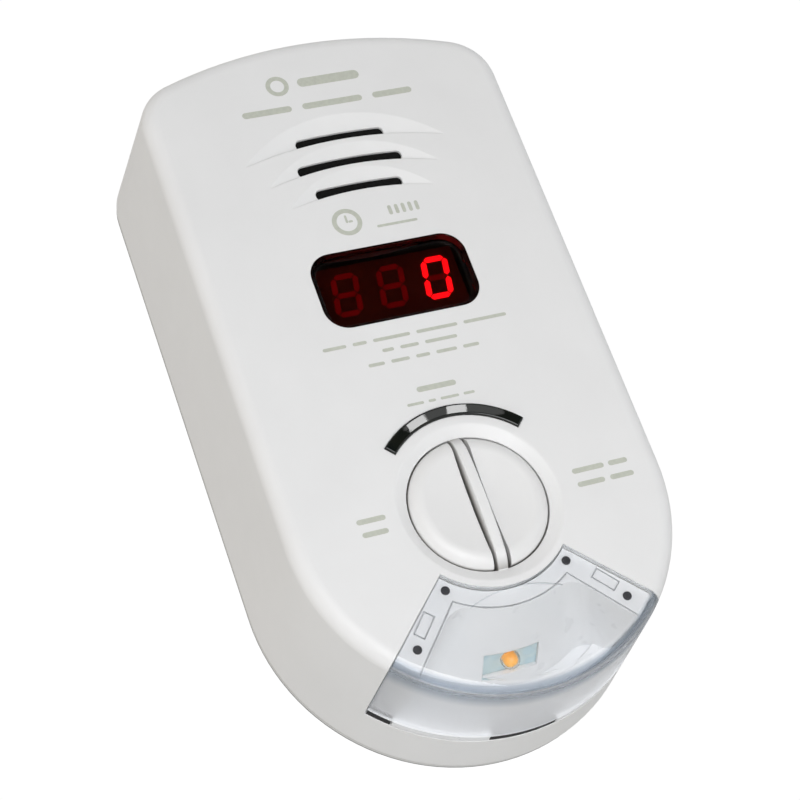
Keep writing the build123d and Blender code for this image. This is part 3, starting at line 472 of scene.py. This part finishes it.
def finishes():
    """One material for each material slot of the record."""
    return {
        # Housing and buttons carry painted shade deep in the gaps round the buttons
        "housing_white": moulded("housing_white", (0.826, 0.825, 0.822), 0.42, gap_shade=(-0.4, 1.6, 14.3)),
        "rear_white": rear_shell("rear_white", (0.7, 0.7, 0.69), (0.1, 0.1, 0.105)),
        "button_white": moulded(
            "button_white", (0.818, 0.815, 0.81), 0.38, 0.3, 0.002, gap_shade=(1.1, 2.2, 15.0)
        ),
        "reflector_white": moulded("reflector_white", (0.835, 0.845, 0.86), 0.3, 0.5, 0.001, 0.3),
        "spacer_white": moulded("spacer_white", (0.75, 0.75, 0.72), 0.4),
        "plug_plastic": moulded("plug_plastic", (0.035, 0.035, 0.04), 0.38, 0.4, 0.006),
        "module_black": moulded("module_black", (0.17, 0.15, 0.09), 0.5, 0.2, 0.003),
        "switch_black": moulded("switch_black", (0.03, 0.03, 0.03), 0.45),
        "plunger_brown": moulded("plunger_brown", (0.16, 0.06, 0.03), 0.4),
        "horn_black": moulded("horn_black", (0.018, 0.018, 0.018), 0.5),
        # Near-black rivet heads: painted shade standing in for the dark holes they sit in
        "rivet_grey": moulded("rivet_grey", (0.045, 0.045, 0.05), 0.4, 0.2, 0.004),
        "chip_black": moulded("chip_black", (0.025, 0.025, 0.028), 0.55, 0.12, 0.004),
        "cell_cap": moulded("cell_cap", (0.06, 0.06, 0.065), 0.45),
        "ferrite": moulded("ferrite", (0.06, 0.055, 0.055), 0.5, 0.3, 0.01),
        "capacitor_film": moulded("capacitor_film", (0.55, 0.38, 0.08), 0.4, 0.6, 0.01),
        "seal_black": moulded("seal_black", (0.012, 0.012, 0.014), 0.7, 0.25, 0.01),
        "screen_black": gauze("screen_black", (0.0015, 0.0015, 0.0015), (0.006, 0.006, 0.005)),
        "screw_steel": brushed("screw_steel", (0.62, 0.62, 0.63), 0.32),
        "blade_brass": brushed("blade_brass", (0.74, 0.68, 0.52), 0.26, (14, 1, 1)),
        "contact_brass": brushed("contact_brass", (0.78, 0.58, 0.26), 0.25),
        "disc_brass": brushed("disc_brass", (0.8, 0.62, 0.3), 0.3),
        "pin_tin": brushed("pin_tin", (0.72, 0.72, 0.71), 0.35),
        "spring_steel": brushed("spring_steel", (0.65, 0.65, 0.66), 0.25),
        "cell_steel": brushed("cell_steel", (0.66, 0.66, 0.67), 0.28, (14, 1, 1)),
        "capacitor_can": brushed("capacitor_can", (0.55, 0.55, 0.57), 0.35),
        "nickel": brushed("nickel", (0.68, 0.66, 0.62), 0.25),
        "battery_sleeve": film_wrap("battery_sleeve", (0.05, 0.16, 0.3), 0.25, (6, 1, 1)),
        "varistor_blue": film_wrap("varistor_blue", (0.03, 0.1, 0.3), 0.3),
        "board_green": circuit_board("board_green", (0.02, 0.12, 0.05), (0.1, 0.28, 0.08)),
        "board_teal": circuit_board("board_teal", (0.56, 0.72, 0.78), (0.7, 0.78, 0.76)),
        "label_paper": paper("label_paper", (0.78, 0.78, 0.76)),
        "piezo_white": fired_ceramic("piezo_white", (0.72, 0.7, 0.64)),
        "lens_clear": clear_cover("lens_clear"),
        "window_red": red_window("window_red"),
        "arc_smoke": smoked_bar("arc_smoke"),
        "segment_lit": display_bar("segment_lit", (0.6, 0.03, 0.02), 0.4, (1.0, 0.008, 0.02), 4.6),
        # Unlit segments glow faintly: painted light standing in for the light that reaches them through
        # the window
        "segment_dark": display_bar("segment_dark", (0.5, 0.012, 0.03), 0.4, (1.0, 0.01, 0.05), 0.085),
        "led_red": lamp_epoxy("led_red", (0.5, 0.03, 0.02)),
        "led_package": clear_dome("led_package"),
        "phosphor": lamp_core("phosphor"),
    }


def dress_frame():
    """Gives every CAD node the material of its record slot."""
    made = finishes()
    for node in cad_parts.values():
        for slot in node.material_slots:
            slot.material = made[slot.material.name.split(".")[0]]


# Printed marks: plain pictograms and dashes, laid on the face


def bar(x, z, width, height, turn=0.0):
    """Outline of a bar with round ends, about its middle, in millimetres."""
    radius = min(width, height) / 2
    along, across = (width, height) if width >= height else (height, width)
    tilt = radians(turn) + (0 if width >= height else pi / 2)
    points = []
    for end in (1, -1):
        for step in range(9):
            angle = -end * pi / 2 + pi * step / 8
            u = end * (along / 2 - radius) + radius * cos(angle)
            v = radius * sin(angle)
            points.append((x + u * cos(tilt) - v * sin(tilt), z + u * sin(tilt) + v * cos(tilt)))
    return points


def printed(name, outlines, rings=()):
    """Thin ink on the face: filled outlines, and rings given as (x, z, radius, width)."""
    mesh = bmesh.new()
    back, front = FACE_Y + PRINT_THICK / 2, FACE_Y - PRINT_THICK / 2

    def corner(x, z, y):
        return mesh.verts.new((x * MM, y, BUTTONS_Z + z * MM))

    for outline in outlines:
        fore = [corner(x, z, front) for x, z in outline]
        aft = [corner(x, z, back) for x, z in outline]
        mesh.faces.new(fore)
        mesh.faces.new(list(reversed(aft)))
        count = len(outline)
        for i in range(count):
            j = (i + 1) % count
            mesh.faces.new((fore[j], fore[i], aft[i], aft[j]))
    for x, z, radius, width in rings:
        loops = []
        for edge, y in ((radius, front), (radius + width, front), (radius + width, back), (radius, back)):
            loop = []
            for step in range(48):
                angle = 2 * pi * step / 48
                loop.append(corner(x + edge * cos(angle), z + edge * sin(angle), y))
            loops.append(loop)
        for k in range(4):
            inner, outer = loops[k], loops[(k + 1) % 4]
            for i in range(48):
                j = (i + 1) % 48
                mesh.faces.new((inner[i], inner[j], outer[j], outer[i]))
    bmesh.ops.recalc_face_normals(mesh, faces=mesh.faces)
    data = bpy.data.meshes.new(name)
    mesh.to_mesh(data)
    mesh.free()
    piece = bpy.data.objects.new(name, data)
    bpy.context.scene.collection.objects.link(piece)
    piece.data.materials.append(INK)
    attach(piece, "case")
    return piece


def dashes(z, height, widths, gap):
    """A centred row of short bars."""
    x = -(sum(widths) + gap * (len(widths) - 1)) / 2
    row = []
    for width in widths:
        row.append(bar(x + width / 2, z, width, height))
        x += width + gap
    return row


def print_marks():
    printed("print_title", dashes(95.6, 1.5, (11.0, 13.5, 9.0), 2.4))
    printed("print_badge", [bar(2.0, 101.6, 14.0, 2.2)], [(-9.5, 101.6, 1.5, 1.0)])

    gauge = [bar(4.4 + 1.5 * step, 67.3, 0.8, 2.3) for step in range(5)]
    printed("print_gauge", gauge + [bar(4.9, 64.0, 9.0, 0.6)], [(-5.5, 66.3, 2.2, 1.0)])
    printed("print_gauge_hands", [bar(-5.5, 67.0, 0.5, 1.9), bar(-4.7, 66.3, 1.0, 0.5)])

    legend = dashes(38.5, 0.75, (5.0, 3.0, 8.0, 9.0, 9.5), 1.4)
    legend += dashes(35.9, 0.75, (2.5, 4.0, 7.0), 1.4)
    legend += dashes(33.2, 0.75, (3.5, 4.0, 3.0, 4.5, 3.5), 1.4)
    printed("print_legend", legend)

    printed("print_alarm", dashes(25.9, 1.2, (8.5,), 1.0) + dashes(23.0, 0.6, (3.6, 1.6, 4.0, 2.4), 1.0))

    left = [bar(-22.5, 1.2, 6.0, 1.1), bar(-22.5, -1.6, 5.4, 1.1)]
    printed("print_left_button", left)
    right = [bar(24.0, 1.4, 7.0, 1.1), bar(30.6, 1.4, 4.2, 1.1)]
    right += [bar(23.6, -1.6, 6.0, 1.1), bar(30.4, -1.6, 5.2, 1.1)]
    printed("print_right_button", right)


# Surroundings


def floor():
    mesh = bmesh.new()
    bmesh.ops.create_grid(mesh, x_segments=8, y_segments=8, size=FLOOR_HALF)
    data = bpy.data.meshes.new("floor")
    mesh.to_mesh(data)
    mesh.free()
    piece = bpy.data.objects.new("floor", data)
    piece.location.z = FLOOR_Z
    bpy.context.scene.collection.objects.link(piece)
    finish = Finish("floor", 0.8)
    finish.paint((0.8, 0.8, 0.79), (0.77, 0.77, 0.76), 60.0)
    finish.bump(finish.noise(1.5, 3.0), 0.03)
    piece.data.materials.append(finish.done())


def area_light(name, towards, distance, width, height, power, shade=(1, 1, 1)):
    """A softbox in a direction from the middle of the object, facing it."""
    low, high = CAD_BOX
    middle = (Vector(low) + Vector(high)) / 2
    data = bpy.data.lights.new(name, "AREA")
    data.shape = "RECTANGLE"
    data.size, data.size_y = width, height
    data.energy = power
    data.color = shade
    lamp = bpy.data.objects.new(name, data)
    lamp.location = middle + distance * Vector(towards).normalized()
    lamp.rotation_euler = (middle - lamp.location).to_track_quat("-Z", "Y").to_euler()
    lamp.visible_camera = False
    lamp.visible_transmission = False
    bpy.context.scene.collection.objects.link(lamp)


def glint(name, seen, along, length, width, reach, strength):
    """A small strip light placed where a glossy spot facing the room mirrors it to the camera."""
    sight = (seen - Vector(CAMERA_AT)).normalized()
    facing = Vector((sight.x, -sight.y, sight.z))
    along = (Vector(along) - Vector(along).dot(facing) * facing).normalized()
    data = bpy.data.lights.new(name, "AREA")
    data.shape = "RECTANGLE"
    data.size, data.size_y = length, width
    data.energy = strength * length * width
    lamp = bpy.data.objects.new(name, data)
    turn = Matrix((along, facing.cross(along), facing)).transposed()
    place = Matrix.Translation(seen + reach * facing)
    lamp.matrix_world = place @ turn.to_4x4()
    lamp.visible_camera = False
    bpy.context.scene.collection.objects.link(lamp)


def glints():
    """Catch lights on the alarm arc: two bright ones over a wide faint one."""
    low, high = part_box("alarm_light_lens")
    radius = high.z - BUTTONS_Z - ARC_INSET
    for order, (name, (turn, spread, strength)) in enumerate(GLINTS.items()):
        angle = radians(turn)
        seen = Vector((radius * sin(angle), low.y, BUTTONS_Z + radius * cos(angle)))
        reach = GLINT_REACH + 0.02 * order
        scale = 1 + reach / (seen - Vector(CAMERA_AT)).length
        along = (cos(angle), 0, -sin(angle))
        glint(name, seen, along, scale * radius * radians(spread), scale * GLINT_WIDTH, reach, strength)


def sky():
    """White to the camera; as a light, dimmer overhead and on the dark side, warmer on the left."""
    world = bpy.data.worlds.new("studio")
    world.use_nodes = True
    tree = Tree(world.node_tree)
    place = tree.add("ShaderNodeTexCoord").outputs["Generated"]
    split = tree.add("ShaderNodeSeparateXYZ", {0: place}).outputs
    overhead = tree.spread(split["Z"], -0.4, 0.8, 0.9, 0.7)
    inputs = {0: place, 1: DARK_SIDE}
    towards = tree.add("ShaderNodeVectorMath", inputs, operation="DOT_PRODUCT").outputs["Value"]
    inputs = {0: towards, 1: 0.72, 2: 0.95, 3: 1.0, 4: 0.05}
    shade = tree.add("ShaderNodeMapRange", inputs, interpolation_type="SMOOTHSTEP").outputs[0]
    tint = tree.mixed(tree.spread(split["X"], -0.8, 0.4), SKY_LEFT, SKY_RIGHT)
    inputs = {"Color": tint, "Strength": tree.maths("MULTIPLY", overhead, shade)}
    light = tree.add("ShaderNodeBackground", inputs).outputs[0]
    backdrop = tree.add("ShaderNodeBackground", {"Color": (1, 1, 1, 1), "Strength": 1.02}).outputs[0]
    seen = tree.add("ShaderNodeLightPath").outputs["Is Camera Ray"]
    choice = tree.add("ShaderNodeMixShader", {0: seen, 1: light, 2: backdrop}).outputs[0]
    tree.add("ShaderNodeOutputWorld", {"Surface": choice})
    bpy.context.scene.world = world


def camera():
    data = bpy.data.cameras.new("camera")
    data.sensor_width = SENSOR
    data.lens = CAMERA_LENS
    data.clip_start = 0.01
    aim = Vector(CAMERA_LOOK).to_track_quat("-Z", "Y").to_matrix().to_4x4()
    eye = bpy.data.objects.new("camera", data)
    eye.matrix_world = (
        Matrix.Translation(CAMERA_AT) @ aim @ Matrix.Rotation(radians(CAMERA_ROLL), 4, "Z")
    )
    bpy.context.scene.collection.objects.link(eye)
    bpy.context.scene.camera = eye


bpy.context.scene.view_settings.view_transform = "Standard"
dress_frame()
INK = ink("print_ink", (0.50, 0.515, 0.45))
print_marks()
floor()
area_light("key", (-0.15, -0.9, -0.36), 0.6, 0.36, 0.36, 1.9, (0.985, 1.0, 1.03))
glints()
sky()
camera()
